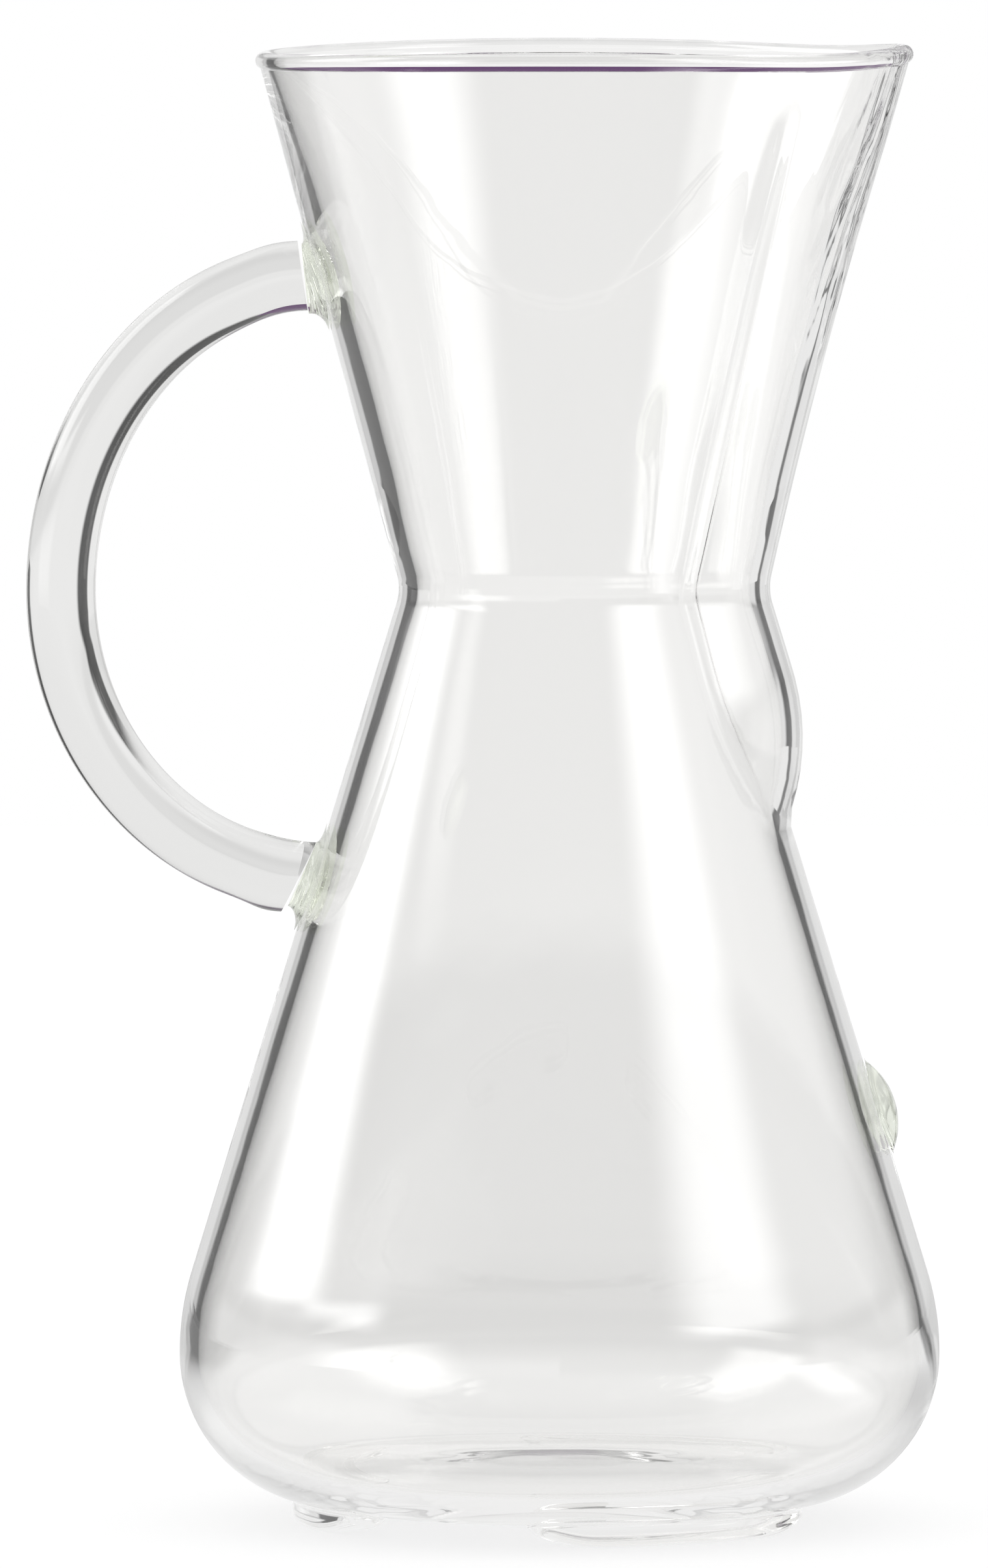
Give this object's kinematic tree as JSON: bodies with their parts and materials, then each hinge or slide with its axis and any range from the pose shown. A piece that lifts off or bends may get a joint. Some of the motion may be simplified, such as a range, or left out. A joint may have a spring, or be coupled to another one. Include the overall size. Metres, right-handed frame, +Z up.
{
  "type": "pour-over coffee maker",
  "caption": "Clear glass hourglass carafe with a conical funnel over a rounded flask, a pressed pour channel, a bent rod handle, a level button and foot lugs.",
  "frame": {"origin": "on the table, below the middle of the outline seen from above, handle included", "axes": "+Z up, +X from the handle towards the pour channel, +Y across"},
  "size_m": [0.1272, 0.106, 0.206],
  "materials": {
    "clear_glass": "clear fire-polished borosilicate glass",
    "weld_glass": "clear glass with a faint yellow-green tint, lightly rippled where it was melted on"
  },
  "bodies": {
    "root": {"carafe_body": "clear_glass", "handle_rod": "clear_glass", "handle_weld_upper": "weld_glass", "handle_weld_lower": "weld_glass", "level_button": "weld_glass", "foot_front": "clear_glass", "foot_back": "clear_glass", "foot_left": "clear_glass"}
  },
  "joints": []
}
